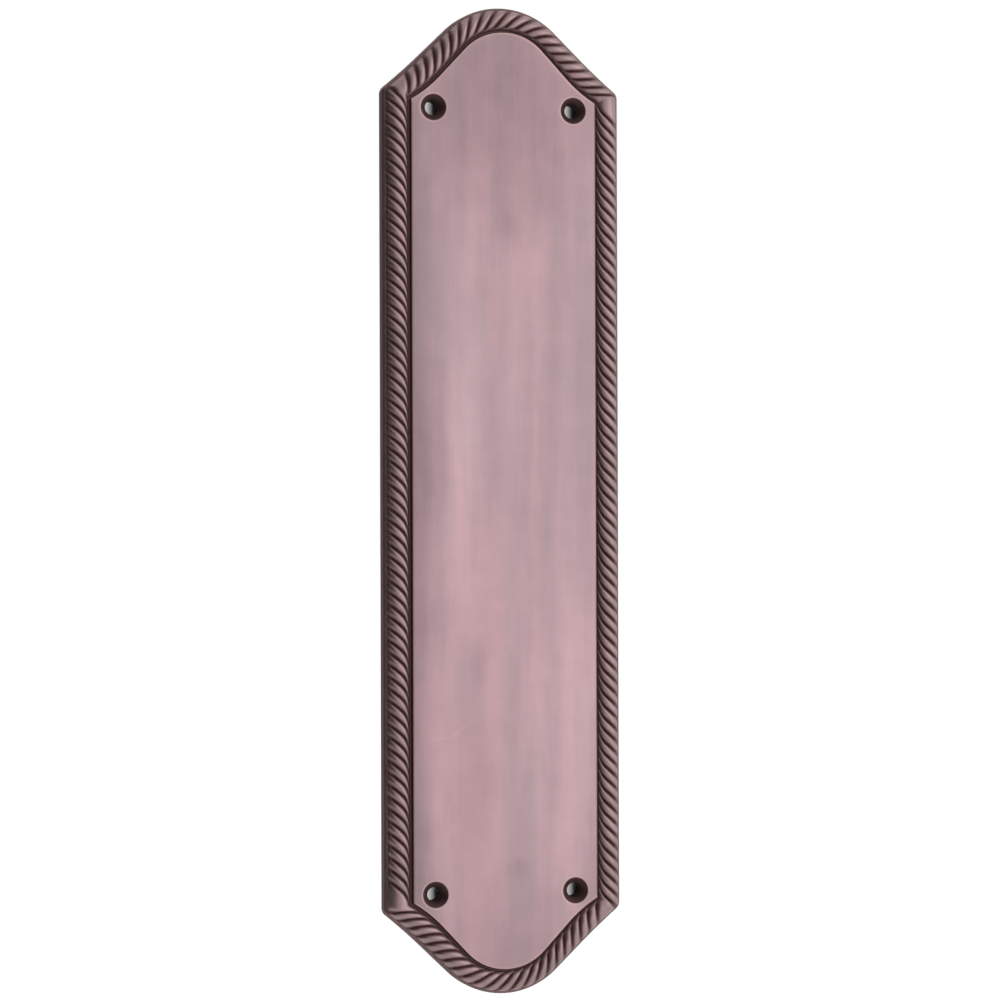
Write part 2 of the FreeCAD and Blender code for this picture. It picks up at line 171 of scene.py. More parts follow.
class Ogee:
    """The outline at one offset from the panel's edge, of which the upper right quarter is traced.

    The plate's outer edge has a flatter arch than the panel. The outlines between pass from one to
    the other.
    """
    TRACE_POINTS = 400

    def __init__(self, plate, offset):
        def part_way(inner, outer):
            return inner + (outer - inner) * offset / plate.border_width

        self.slope = part_way(plate.flank_angle, plate.outer_flank_angle)
        self.tip_radius = part_way(plate.tip_radius, plate.outer_tip_radius)
        self.hollow_radius = 1 / part_way(1 / plate.shoulder_radius, 1 / plate.outer_shoulder_radius)
        self.flank = plate.flank_length
        self.half_width = plate.half_width + offset
        apex = part_way(plate.apex_height, HIGH.z)
        self.tip_centre = np.array([0.0, apex - self.tip_radius])
        self.along = np.array([math.cos(self.slope), -math.sin(self.slope)])
        self.away = np.array([math.sin(self.slope), math.cos(self.slope)])
        self.hollow_centre = (self.tip_centre + self.away * (self.tip_radius + self.hollow_radius)
                              + self.along * self.flank)
        self.corner_slope = math.asin((self.hollow_centre[0] - self.half_width) / self.hollow_radius)
        self.tip_run = self.slope * self.tip_radius
        self.half_arch = self.hollow_run(self.corner_slope)
        self.corner = self.at(np.array([self.half_arch]))[0][0]

    def hollow_run(self, slope):
        """Distance from the arch's tip to a slope in the hollow shoulder."""
        return self.tip_run + self.flank + (self.slope - slope) * self.hollow_radius

    def at(self, from_tip):
        """Points at distances from the arch's tip, and the directions outwards there."""
        turn = np.minimum(from_tip / self.tip_radius, self.slope)
        rest = np.maximum(from_tip - self.tip_run - self.flank, 0)
        turn = turn - rest / self.hollow_radius
        away = np.stack([np.sin(turn), np.cos(turn)], -1)
        run = np.clip(from_tip - self.tip_run, 0, self.flank)[..., None]
        convex = self.tip_centre + away * self.tip_radius + self.along * run
        hollow = self.hollow_centre - away * self.hollow_radius
        return np.where((rest > 0)[..., None], hollow, convex), away

    def foot(self, points):
        """Distances along this outline, and away from it, of points near it."""
        from_tip_centre = points - self.tip_centre
        from_hollow_centre = self.hollow_centre - points
        turn = np.arctan2(from_tip_centre[:, 0], from_tip_centre[:, 1])
        back_turn = np.arctan2(from_hollow_centre[:, 0], from_hollow_centre[:, 1])
        run = from_tip_centre @ self.along
        tip = turn <= self.slope
        hollow = ~tip & (run > self.flank)
        along = np.where(tip, turn * self.tip_radius, self.tip_run + run)
        along = np.where(hollow, self.hollow_run(back_turn), along)
        away = np.where(tip, np.hypot(*from_tip_centre.T), from_tip_centre @ self.away)
        away = np.where(hollow, self.hollow_radius - np.hypot(*from_hollow_centre.T),
                        away - self.tip_radius)
        return along, away


class Outline:
    """The plate's outline at any offset, followed clockwise as seen from the front.

    Its distances are those along the middle of the rope: an arch starts at its left corner and a side
    at its upper one.
    """

    def __init__(self, plate, rope):
        self.plate = plate
        self.middle_offset = rope.gap + rope.radius
        self.middle = Ogee(plate, self.middle_offset)
        self.traces = {}

    def trace(self, offset):
        """The outline at an offset, as seen from the middle line: its distances, widths and corner."""
        if offset not in self.traces:
            ogee = Ogee(self.plate, offset)
            points = ogee.at(np.linspace(0, ogee.half_arch, ogee.TRACE_POINTS))[0]
            self.traces[offset] = (*self.middle.foot(points), ogee.corner)
        return self.traces[offset]

    def run_length(self, kind):
        return 2 * self.middle.half_arch if kind == "arch" else 2 * self.middle.corner[1]

    def start(self, kind, offset):
        """Distance at which a run leaves its first mitre, at each offset."""
        if kind == "arch":
            return self.middle.half_arch - np.array([self.trace(o)[0][-1] for o in offset])
        return self.middle.corner[1] - np.array([self.trace(o)[2][1] for o in offset])

    def end(self, kind, offset):
        return self.run_length(kind) - self.start(kind, offset)

    def place(self, kind, distance, offset):
        """Points (x, z) of the upper arch or the right side: distances (n, m) at offsets (m)."""
        if kind == "side":
            across = np.broadcast_to(self.middle.half_width - self.middle_offset + offset, distance.shape)
            return np.stack([across, self.middle.corner[1] - distance], -1)
        half = self.middle.half_arch
        from_tip = np.abs(distance - half)
        point, away = self.middle.at(from_tip)
        width = np.stack([np.interp(from_tip[:, column], *self.trace(o)[:2])
                          for column, o in enumerate(offset)], -1)
        return (point + away * width[..., None]) * np.stack(
            [np.where(distance < half, -1.0, 1.0), np.ones_like(distance)], -1)


# The four runs, clockwise from the upper left corner, each with the half turn that places it
RUNS = (("arch", 1), ("side", 1), ("arch", -1), ("side", -1))
# What the strand numbers of one run are ahead of those of the run before it
RUN_NUMBERS = 100
# Least distance between two mesh lines, and the step that gives an outline's direction at a mitre
NEAREST = 0.02 * MM
SHORT_STEP = 0.01 * MM
TINY = 1e-9


class RopeLay:
    """Where the mesh lines of the border run: along the grooves, and to the mitre in the corners."""
    HEAD_STEPS = 12
    TAIL_STEPS = 5
    PASSES = 6
    HOOK_START = 0.25
    # How much steeper the first and the last strand of the upper and the lower arch lie on the
    # panel's side
    ARCH_CURVES = {1: (-0.12, 0.18), -1: (0.38, 0.38)}

    def __init__(self, outline, rope, turn):
        self.outline = outline
        self.rope = rope
        self.turn = turn
        self.first, self.last = {}, {}
        middle, reach = outline.middle_offset, rope.radius
        for kind in ("arch", "side"):
            leaves = outline.start(kind, [middle - reach])[0]
            arrives = outline.end(kind, [middle + reach])[0]
            head, tail = (rope.side_head, rope.side_tail) if kind == "side" else (0.0, 0.0)
            first, last = leaves, arrives
            for _ in range(self.PASSES):
                first = leaves + head - self.lean(kind, first, middle - reach)
                last = arrives + tail - self.lean(kind, last, middle + reach)
            self.first[kind], self.last[kind] = first, last

    def lay(self, kind, station):
        """Run along the border for each step outwards of the groove at a station."""
        lay = math.atan(1 / self.rope.lay)
        if kind == "side":
            return np.full_like(station, self.rope.lay, dtype=float)
        middle = self.outline.middle
        from_tip = np.asarray(station) - middle.half_arch
        rest = np.maximum(np.abs(from_tip) - middle.tip_run - middle.flank, 0)
        bend = rest / middle.hollow_radius
        fan = np.where(from_tip < 0, self.rope.fan_in, -self.rope.fan_out)
        return 1 / np.tan(lay + fan * bend)

    def lean(self, kind, station, offset):
        """How far a groove has run along the border at an offset, from where it crosses the crest."""
        rope = self.rope
        t = np.clip((offset - self.outline.middle_offset) / rope.radius, -1, 1)
        bow = rope.lay_sweep * t ** 3 / 3
        if kind == "arch":
            late = smooth(np.asarray(station) / self.outline.run_length(kind))
            early_curve, late_curve = self.ARCH_CURVES[self.turn]
            bow = bow - (early_curve + (late_curve - early_curve) * late) * t ** 2 / 2
        else:
            bow -= rope.lay_curve * t ** 2 / 2
            bow -= rope.lay_hook * np.maximum(-t - self.HOOK_START, 0) ** 2 / 2
        return rope.radius * (self.lay(kind, station) * t + bow)

    def lines(self, kind, offset):
        """Distance and strand number of each mesh line (first axis) at each offset (second axis)."""
        first, last = self.first[kind], self.last[kind]
        count = round((last - first) / self.rope.pitch)
        pitch = (last - first) / count
        start = self.outline.start(kind, offset)
        end = self.outline.end(kind, offset)
        number = np.arange(count * self.rope.steps + 1)[:, None] / self.rope.steps
        station = first + pitch * number
        middle = station + self.lean(kind, station, offset)
        part = np.arange(self.HEAD_STEPS)[:, None] / self.HEAD_STEPS
        head = (1 - part) * start + part * middle[0]
        part = np.arange(1, self.TAIL_STEPS)[:, None] / self.TAIL_STEPS
        tail = (1 - part) * middle[-1] + part * end
        ideal = np.vstack([head, middle, tail])
        order = np.arange(len(ideal))[:, None]
        distance = np.maximum(ideal, start + order * NEAREST)
        distance = np.minimum(distance, end - (len(ideal) - order) * NEAREST)

        other = "side" if kind == "arch" else "arch"
        behind, ahead = self.last[other], self.first[other]
        before = self.outline.end(other, offset) - behind - self.lean(other, behind, offset)
        after = ahead + self.lean(other, ahead, offset) - self.outline.start(other, offset)
        to_first = np.minimum(middle[0] - distance, distance - start + before)
        to_last = np.minimum(distance - middle[-1], end - distance + after)
        strand = np.stack([np.interp(distance[:, column], middle[:, column], number[:, 0])
                           for column in range(len(offset))], -1)
        strand = np.where(distance < middle[0], -np.clip(to_first / pitch, 0, 0.5), strand)
        strand = np.where(distance > middle[-1], count + np.clip(to_last / pitch, 0, 0.5), strand)
        return distance, strand


# Mesh helpers

def store(mesh, name, values, kind="FLOAT", domain="POINT"):
    """Keep values on a mesh as a named attribute."""
    layer = mesh.attributes.new(name, kind, domain)
    number = np.int32 if kind == "INT" else np.float32
    layer.data.foreach_set("vector" if kind == "FLOAT_VECTOR" else "value", np.array(values, number).ravel())


class Casting:
    """Vertices with their carving and shading values, and faces with their zones."""
    FIELDS = ("strand", "carve", "recess", "edge")

    def __init__(self):
        self.points = []
        self.sinks = []
        self.fields = {name: [] for name in self.FIELDS}
        self.faces = []
        self.zones = []
        self.count = 0

    def add(self, points, sinks=None, **fields):
        """Add points (n, 3) and return their numbers."""
        points = np.asarray(points, float).reshape(-1, 3)
        size = len(points)
        self.points.append(points)
        self.sinks.append(np.zeros((size, 3)) if sinks is None else np.asarray(sinks).reshape(-1, 3))
        for name in self.FIELDS:
            self.fields[name].append(np.broadcast_to(np.asarray(fields.get(name, 0.0), float), size))
        self.count += size
        return np.arange(self.count - size, self.count)

    def face(self, zone, *corners):
        self.faces.append(corners)
        self.zones.append(zone)

    def bridge(self, zone, first, second):
        """Close the band between two rings of the same size."""
        size = len(first)
        for a in range(size):
            b = (a + 1) % size
            self.face(zone, first[a], first[b], second[b], second[a])

    def mesh(self, name):
        mesh = bpy.data.meshes.new(name)
        mesh.from_pydata(np.vstack(self.points).tolist(), [], [list(map(int, f)) for f in self.faces])
        for field, values in self.fields.items():
            store(mesh, field, np.concatenate(values))
        store(mesh, "sink", np.vstack(self.sinks), "FLOAT_VECTOR")
        store(mesh, "zone", self.zones, "INT", "FACE")
        mesh.update()
        return mesh


PANEL, BORDER, BACK = 0, 1, 2


def inside(points, loop):
    """Which points (n, 2) lie inside a closed loop (m, 2)."""
    x, y = points[:, :1], points[:, 1:]
    ax, ay = loop[:, 0], loop[:, 1]
    bx, by = np.roll(ax, -1), np.roll(ay, -1)
    spans = (ay > y) != (by > y)
    cross = ax + (y - ay) / np.where(by == ay, 1e-12, by - ay) * (bx - ax)
    return (np.sum(spans & (x < cross), axis=1) % 2) == 1


def circle(centre, radius, size):
    angle = np.arange(size) * TURN / size
    return np.stack([centre[0] + radius * np.cos(angle), centre[1] + radius * np.sin(angle)], -1)


def raised(plan, height):
    """Points in space from points (x, z) and their height above the plate's back."""
    plan = np.asarray(plan)
    return np.stack([plan[..., 0], np.broadcast_to(-np.asarray(height, float), plan.shape[:-1]),
                     plan[..., 1]], -1)


def smooth(value):
    value = np.clip(value, 0, 1)
    return value * value * (3 - 2 * value)


def rise(value, start, end):
    """From 0 at the start to 1 at the end."""
    return smooth((value - start) / (end - start))


# How the sides and the arches differ, first in the share of the groove's depth
CARVE_SHARE = {"side": 1.0, "arch": 0.86}
# Where the grooves start and are full, and where the painted shade beside the panel fades and ends, in rope
# radii from the crest
GROOVE_START = {"side": (-0.95, -0.50), "arch": (-0.86, -0.54)}
FOOT_PAINTED_SHADE = {"side": (-0.85, -0.55), "arch": (-0.66, -0.46)}
# How much painted shade the panel's edge gets, and how much polish with a painted highlight
EDGE_PAINTED_SHADE = {"side": 1.0, "arch": 0.35}
EDGE_POLISH_AND_HIGHLIGHT = {"side": 0.0, "arch": 0.8}


# How much of the groove is left at the rope's two feet, and how much painted shade the bare strip beside the
# panel, the crevice and the foot beside the band get as recess
FOOT_CARVE, BAND_CARVE = 0.10, 0.55
STRIP_PAINTED_SHADE, CREVICE_PAINTED_SHADE, BAND_PAINTED_SHADE = 0.46, 0.88, 0.30
# The first rows of the section lie on the panel
PANEL_ROWS = 4


def plain_row(offset, height, recess, edge=0.0):
    """A row of the border's section beside the rope, from millimetres."""
    return offset * MM, height * MM, 0, 0, recess, edge


def border_section(kind, plate, rope):
    """The border's section from the panel to the back, as rows of offset, height, angle from the
    rope's crest, carving, recess and edge."""
    dark, bright = EDGE_PAINTED_SHADE[kind], EDGE_POLISH_AND_HIGHLIGHT[kind]
    floor, face = plate.band_height / MM, plate.panel_height / MM
    crevice = face - plate.crevice_depth / MM
    rows = [
        # Rows on the panel's edge: painted shade, and on the arches polish with a painted highlight; then
        # the crevice's painted shade.
        plain_row(-1.00, face, 0.0),
        plain_row(-0.50, face, 0.28 * dark, 0.3 * bright),
        plain_row(-0.22, face - 0.01, 0.40 * dark, bright),
        plain_row(-0.08, face - 0.06, 0.52 * dark, 0.6 * bright),
        plain_row(0.0, face - 0.22, 0.70),
        plain_row(0.02, face - 0.6, 0.9),
        plain_row(0.08, crevice + 0.10, 1.0),
        plain_row(0.20, crevice, 0.9),
    ]
    middle = rope.gap + rope.radius
    centre = rope.crest - rope.radius
    foot = math.acos((floor * MM - centre) / rope.radius)
    start = math.acos((crevice * MM - centre) / rope.radius)
    for number in range(rope.rows + 1):
        angle = (foot + start) * number / rope.rows - start
        t = math.sin(angle)
        carve = CARVE_SHARE[kind] * (FOOT_CARVE + (1 - FOOT_CARVE) * rise(t, *GROOVE_START[kind]))
        carve *= BAND_CARVE + (1 - BAND_CARVE) * rise(-t, -1.0, -0.70)
        # Painted shade on the strip beside the panel, in the crevice and at the foot beside the band.
        recess = max(STRIP_PAINTED_SHADE * (1 - rise(t, *FOOT_PAINTED_SHADE[kind])),
                     CREVICE_PAINTED_SHADE * (1 - rise(t, -0.92, -0.82)),
                     BAND_PAINTED_SHADE * (1 - rise(-t, -1.0, -0.76)))
        rows.append((middle + rope.radius * t, centre + rope.radius * math.cos(angle), angle,
                     carve, recess, 0.0))
    edge, bevel = plate.border_width / MM, plate.band_bevel / MM
    rows += [
        plain_row(edge - bevel, floor - 0.02, 0.50),
        plain_row(edge - 0.5 * bevel, floor - 0.5 * bevel, 0.48),
        plain_row(edge - 0.10, floor - bevel + 0.06, 0.50, 0.1),
        plain_row(edge, floor - bevel - 0.08, 0.70),
        plain_row(edge, floor - bevel - 0.6, 0.66),
        plain_row(edge, 1.2, 0.66),
        plain_row(edge, 0.15, 0.9),
        plain_row(edge - 0.12, 0.0, 0.9, 0.1),
    ]
    return np.array(rows)


def round_corners(outline, plate, kind, distance, offset, plan):
    """Move the plan points near the mitres onto the fillets of the plate's outer corners."""
    foot = plate.border_width - plate.band_bevel
    radius = plate.corner_round * np.clip((offset - foot) / plate.band_bevel, 0, 1) + TINY
    half = (math.pi / 2 - np.array([Ogee(plate, o).corner_slope for o in offset])) / 2
    reach = radius * np.tan(half)
    for mitre, sign in ((outline.start(kind, offset), 1), (outline.end(kind, offset), -1)):
        ends = outline.place(kind, np.array([mitre, mitre + sign * SHORT_STEP]), offset)
        corner, ahead = ends[0], (ends[1] - ends[0]) / SHORT_STEP
        ahead /= np.linalg.norm(ahead, axis=-1, keepdims=True)
        out = np.stack([-ahead[:, 1], ahead[:, 0]], -1) * sign
        away = (distance - mitre) * sign
        angle = np.clip(1 - away / reach, 0, 1) * half
        centre = corner + ahead * reach[:, None] - out * radius[:, None]
        bent = centre + radius[:, None] * (out * np.cos(angle)[..., None]
                                           - ahead * np.sin(angle)[..., None])
        near = (away < reach) & (offset > foot)
        plan = np.where(near[..., None], bent, plan)
    return plan


def build_border(casting, outline, plate, rope):
    """The moulded border from the panel to the back. Returns its first and last ring of vertices."""
    lays = {turn: RopeLay(outline, rope, turn) for turn in (1, -1)}
    rings = []
    for index, (kind, turn) in enumerate(RUNS):
        offset, height, angle, carve, recess, edge = border_section(kind, plate, rope).T
        distance, strand = lays[turn].lines(kind, offset)
        plan = outline.place(kind, distance, offset)
        outwards = np.gradient(plan, axis=1)
        outwards /= np.maximum(np.linalg.norm(outwards, axis=-1, keepdims=True), TINY)
        plan = round_corners(outline, plate, kind, distance, offset, plan) * turn
        outwards = outwards * turn
        sink = np.stack([outwards[..., 0] * np.sin(angle),
                         np.broadcast_to(-np.cos(angle), strand.shape),
                         outwards[..., 1] * np.sin(angle)], -1)
        shape = strand.shape
        carve, recess, edge = (np.broadcast_to(row, shape).ravel() for row in (carve, recess, edge))
        numbers = casting.add(raised(plan, height), sink, carve=carve, recess=recess, edge=edge,
                              strand=(strand + RUN_NUMBERS * index).ravel())
        rings.append(numbers.reshape(shape))
    rings = np.vstack(rings)
    following = np.roll(rings, -1, axis=0)
    for row in range(rings.shape[1] - 1):
        zone = PANEL if row < PANEL_ROWS else BORDER
        for a, b in zip(rings, following):
            casting.face(zone, a[row], b[row], b[row + 1], a[row + 1])
    return rings[:, 0], rings[:, -1]


HOLE_STEPS = 48
# The first rings of a hole lie on the face
FACE_RINGS = 3


def hole_centres(plate):
    return [(x * plate.hole_across / 2, z * plate.hole_along / 2) for x in (-1, 1) for z in (-1, 1)]


def build_holes(casting, plate):
    """The countersinks and bores. Returns each hole's ring on the face and its ring on the back."""
    face, sink, bore = plate.panel_height / MM, plate.sink_radius / MM, plate.bore_radius / MM
    neck = face - (sink - bore)
    # Radius and height in millimetres, recess and edge
    profile = [
        # A bright ring at the rim is polish with a painted highlight; below it, painted shade down the
        # countersink into the bore.
        (sink + 0.70, face, 0.0, 0.0),
        (sink + 0.30, face, 0.0, 0.55),
        (sink + 0.06, face - 0.02, 0.30, 0.0),
        (sink - 0.08, face - 0.12, 0.95, 0.0),
        (sink - 0.30, face - 0.32, 1.0, 0.0),
        (bore + 0.05, neck + 0.05, 1.0, 0.0),
        (bore, neck - 0.08, 1.0, 0.0),
        (bore, 2.5, 1.0, 0.0),
        (bore, 0.0, 1.0, 0.0),
    ]
    ends = []
    for centre in hole_centres(plate):
        rings = [casting.add(raised(circle(centre, radius * MM, HOLE_STEPS), height * MM), recess=recess,
                             edge=edge) for radius, height, recess, edge in profile]
        for number, (outer, inner) in enumerate(zip(rings, rings[1:])):
            casting.bridge(PANEL if number < FACE_RINGS else BACK, outer, inner)
        ends.append((rings[0], rings[-1]))
    return ends


class FlatFill:
    """Triangles between the casting's border ring and its hole rings, with inner loops and points."""
    SAME_POINT = 1e-6

    def __init__(self, casting, rings, height, inner_loops=(), loose=()):
        self.casting, self.height = casting, height
        self.numbers = np.concatenate(rings)
        loops = plans_of(casting, rings)
        points, edges = [], []
        for loop in loops + list(inner_loops):
            base, size = len(points), len(loop)
            points += [Vector(p) for p in loop / MM]
            edges += [(base + i, base + (i + 1) % size) for i in range(size)]
        points += [Vector(p) for p in np.asarray(loose) / MM]
        made = delaunay_2d_cdt(points, edges, [], 0, self.SAME_POINT, True)
        self.plan = np.array([tuple(p) for p in made[0]]) * MM
        self.triangles = np.array(made[2])
        # The point that each corner was put in as, or None for a new one
        self.source = [numbers[0] if numbers else None for numbers in made[3]]
        self.middles = self.plan[self.triangles].mean(axis=1)
        self.wanted = inside(self.middles, loops[0])
        for hole in loops[1:]:
            self.wanted &= ~inside(self.middles, hole)
        self.made = {}

    def vertex(self, corner, height, recess=0.0):
        """The casting's vertex at a corner, which is new unless it lies on one of the rings."""
        known = self.source[corner]
        if height == self.height and known is not None and known < len(self.numbers):
            return self.numbers[known]
        if (corner, height) not in self.made:
            point = raised(self.plan[corner], height)
            self.made[corner, height] = self.casting.add(point, recess=recess)[0]
        return self.made[corner, height]


def plans_of(casting, rings):
    points = np.vstack(casting.points)[:, [0, 2]]
    return [points[ring] for ring in rings]


def build_panel(casting, plate, rings):
    """The panel's flat face between the border and the holes."""
    border = plans_of(casting, rings)[0]
    spacing, margin, directions = 4.0 * MM, 1.6 * MM, 8
    across, along = (np.arange(-round(reach / spacing), round(reach / spacing) + 1)
                     for reach in (plate.half_width, plate.apex_height))
    grid = np.array([(x * spacing, z * spacing) for x in across for z in along])
    keep = np.ones(len(grid), bool)
    for turn in np.arange(directions) * TURN / directions:
        nudge = margin * np.array([math.cos(turn), math.sin(turn)])
        keep &= inside(grid + nudge, border)
    for centre in hole_centres(plate):
        keep &= np.hypot(*(grid - centre).T) > plate.sink_radius + 2 * margin
    face = plate.panel_height
    fill = FlatFill(casting, rings, face, loose=grid[keep])
    for triangle in fill.triangles[fill.wanted]:
        casting.face(PANEL, *(fill.vertex(corner, face) for corner in triangle))


def outline_loop(outline, offset, step):
    """The outline at an offset as an open ring of points, clockwise from the upper left corner."""
    ring = []
    for kind, turn in RUNS:
        start, end = outline.start(kind, [offset])[0], outline.end(kind, [offset])[0]
        count = round((end - start) / step)
        distance = start + (end - start) * np.arange(count) / count
        ring.append(outline.place(kind, distance[:, None], np.array([offset]))[:, 0] * turn)
    return np.vstack(ring)


def build_back(casting, outline, plate, rings):
    """The hollow back: a flat rim, a shallow hollow under the rope, a deeper one behind the panel and
    a boss about each bore."""
    holes = hole_centres(plate)
    step = 1.5 * MM
    # Painted shade in the back's hollows, lighter on the rim.
    rim_painted_shade, hollow_painted_shade = 0.7, 1.0
    rim = outline_loop(outline, plate.border_width - plate.rim_wall, step)
    recess = outline_loop(outline, -plate.panel_inset, step)
    bosses = [circle(centre, plate.boss_radius, HOLE_STEPS) for centre in holes]
    fill = FlatFill(casting, rings, 0.0, [rim, recess] + bosses)
    depth = np.where(inside(fill.middles, recess), plate.panel_hollow,
                     np.where(inside(fill.middles, rim), plate.rim_hollow, 0.0))
    for centre in holes:
        depth = np.where(np.hypot(*(fill.middles - centre).T) < plate.boss_radius, 0.0, depth)

    def vertex(corner, level):
        return fill.vertex(corner, level, hollow_painted_shade if level > 0 else rim_painted_shade)

    levels = [0.0, plate.rim_hollow, plate.panel_hollow]
    sides = {}
    for triangle, level in zip(fill.triangles[fill.wanted], depth[fill.wanted]):
        a, b, c = triangle
        casting.face(BACK, vertex(a, level), vertex(c, level), vertex(b, level))
        for edge in ((a, b), (b, c), (c, a)):
            sides[edge] = level
    for (a, b), level in sides.items():
        upper = sides.get((b, a))
        if upper is None or upper >= level:
            continue
        steps = [step for step in levels if upper <= step <= level]
        for near, far in zip(steps, steps[1:]):
            casting.face(BACK, vertex(b, near), vertex(a, near), vertex(a, far), vertex(b, far))


# Node helpers

class Wiring:
    """Adds nodes to a tree, and links or sets their inputs."""

    def __init__(self, tree):
        self.tree = tree

    def feed(self, socket, value):
        if isinstance(value, bpy.types.NodeSocket):
            self.tree.links.new(value, socket)
        elif value is not None:
            socket.default_value = value

    def node(self, kind, inputs=None, **settings):
        made = self.tree.nodes.new(kind)
        for name, value in settings.items():
            setattr(made, name, value)
        self.fill(made.inputs, inputs or {})
        return made

    def fill(self, sockets, values):
        for name, value in values.items():
            self.feed(sockets[name], value)

    def math(self, operation, first, second=None, third=None, clamp=False):
        made = self.tree.nodes.new("ShaderNodeMath")
        made.operation = operation
        made.use_clamp = clamp
        for socket, value in zip(made.inputs, (first, second, third)):
            self.feed(socket, value)
        return made.outputs[0]

    def vector(self, operation, *vectors, scale=None):
        made = self.tree.nodes.new("ShaderNodeVectorMath")
        made.operation = operation
        for socket, value in zip(made.inputs, vectors):
            self.feed(socket, value)
        if operation == "SCALE":
            self.feed(made.inputs["Scale"], scale)
        return made.outputs["Value" if operation == "LENGTH" else "Vector"]

    def between(self, value, low, high, to_low=0.0, to_high=1.0):
        """Smoothly map a value from one range to another."""
        made = self.node("ShaderNodeMapRange", {"Value": value, "From Min": low, "From Max": high,
                                                "To Min": to_low, "To Max": to_high})
        made.interpolation_type = "SMOOTHSTEP"
        return made.outputs["Result"]

    def blend(self, factor, first, second):
        """Mix two colours."""
        made = self.node("ShaderNodeMix", {"Factor": factor, 6: first, 7: second}, data_type="RGBA")
        return made.outputs[2]

    def noise(self, vector, scale, detail=3.0, roughness=0.6, output="Fac"):
        made = self.node("ShaderNodeTexNoise", {"Vector": vector, "Scale": scale, "Detail": detail,
                                                "Roughness": roughness})
        return made.outputs[output]

    def place(self):
        return self.node("ShaderNodeTexCoord").outputs["Object"]

    def stretched(self, scale):
        """Object coordinates stretched along an axis by a small scale on it."""
        return self.node("ShaderNodeMapping", {"Vector": self.place(), "Scale": scale}).outputs["Vector"]

    def field(self, name):
        return self.node("ShaderNodeAttribute", attribute_name=name).outputs["Fac"]

    def mix(self, factor, first, second):
        """Mix two shaders."""
        return self.node("ShaderNodeMixShader", {0: factor, 1: first, 2: second}).outputs[0]


WHITE = (1, 1, 1, 1)


def opaque(rgb):
    return (*rgb, 1.0)


def new_group(name, kind, inputs, outputs):
    """A node group with named sockets. Returns it, its wiring, what it takes in and what it puts out."""
    group = bpy.data.node_groups.new(name, kind)
    for direction, sockets in (("INPUT", inputs), ("OUTPUT", outputs)):
        for socket_name, socket_kind, default in sockets:
            socket = group.interface.new_socket(socket_name, in_out=direction, socket_type=socket_kind)
            if default is not None and direction == "INPUT":
                socket.default_value = default
    taken, put_out = group.nodes.new("NodeGroupInput").outputs, group.nodes.new("NodeGroupOutput").inputs
    return group, Wiring(group), taken, put_out


FLOAT, GEOMETRY = "NodeSocketFloat", "NodeSocketGeometry"


def wear_and_shade_group():
    """How far a place is from being rubbed bright: 0 on a polished crest, 1 in a dark hollow. Its patina
    level carries real patina and painted shade; its crevice level is near black painted shade.
    """
    group, w, taken, out = new_group("wear_and_painted_shade", "ShaderNodeTree", [
        ("Recess", FLOAT, 0.0), ("Unevenness", FLOAT, 0.2), ("Start", FLOAT, 0.1), ("End", FLOAT, 0.7)],
        [("Patina and painted shade", FLOAT, None), ("Crevice shade", FLOAT, None)])
    coarse = w.noise(w.place(), 260.0, roughness=0.55)
    fine = w.noise(w.place(), 1500.0)
    uneven = w.math("ADD", w.math("MULTIPLY", w.math("SUBTRACT", coarse, 0.5), 1.3),
                    w.math("MULTIPLY", w.math("SUBTRACT", fine, 0.5), 0.7))
    level = w.math("MULTIPLY_ADD", uneven, taken["Unevenness"], taken["Recess"])
    w.fill(out, {"Patina and painted shade": w.between(level, taken["Start"], taken["End"]),
                 "Crevice shade": w.between(level, 0.75, 1.05)})
    return group


def polish_streaks_group():
    """Soft streaks along the plate that hand polishing leaves, from 0 to 1, and their fine lines."""
    group, w, taken, out = new_group("polish_streaks", "ShaderNodeTree", [
        ("Breadth", FLOAT, 1.0)], [("Streaks", FLOAT, None), ("Fine lines", FLOAT, None)])
    broad = w.noise(w.stretched((45.0, 1.0, 9.0)), 1.0, roughness=0.55)
    narrow = w.noise(w.stretched((170.0, 1.0, 14.0)), 1.0)
    lines = w.noise(w.stretched((2600.0, 60.0, 90.0)), 1.0, detail=2.0)
    mixed = w.math("MULTIPLY_ADD", narrow, 0.45, w.math("MULTIPLY", broad, taken["Breadth"]))
    w.fill(out, {"Streaks": w.between(mixed, 0.45, 1.0), "Fine lines": lines})
    return group


def new_material(name):
    material = bpy.data.materials.new(name)
    material.use_nodes = True
    wiring = Wiring(material.node_tree)
    return material, wiring, material.node_tree.nodes["Principled BSDF"]


def grouped(wiring, group, **inputs):
    made = wiring.node("ShaderNodeGroup", node_tree=group)
    wiring.fill(made.inputs, inputs)
    return made.outputs


def bump(wiring, height, strength, distance):
    made = wiring.node("ShaderNodeBump", {"Height": height, "Strength": strength, "Distance": distance})
    return made.outputs["Normal"]


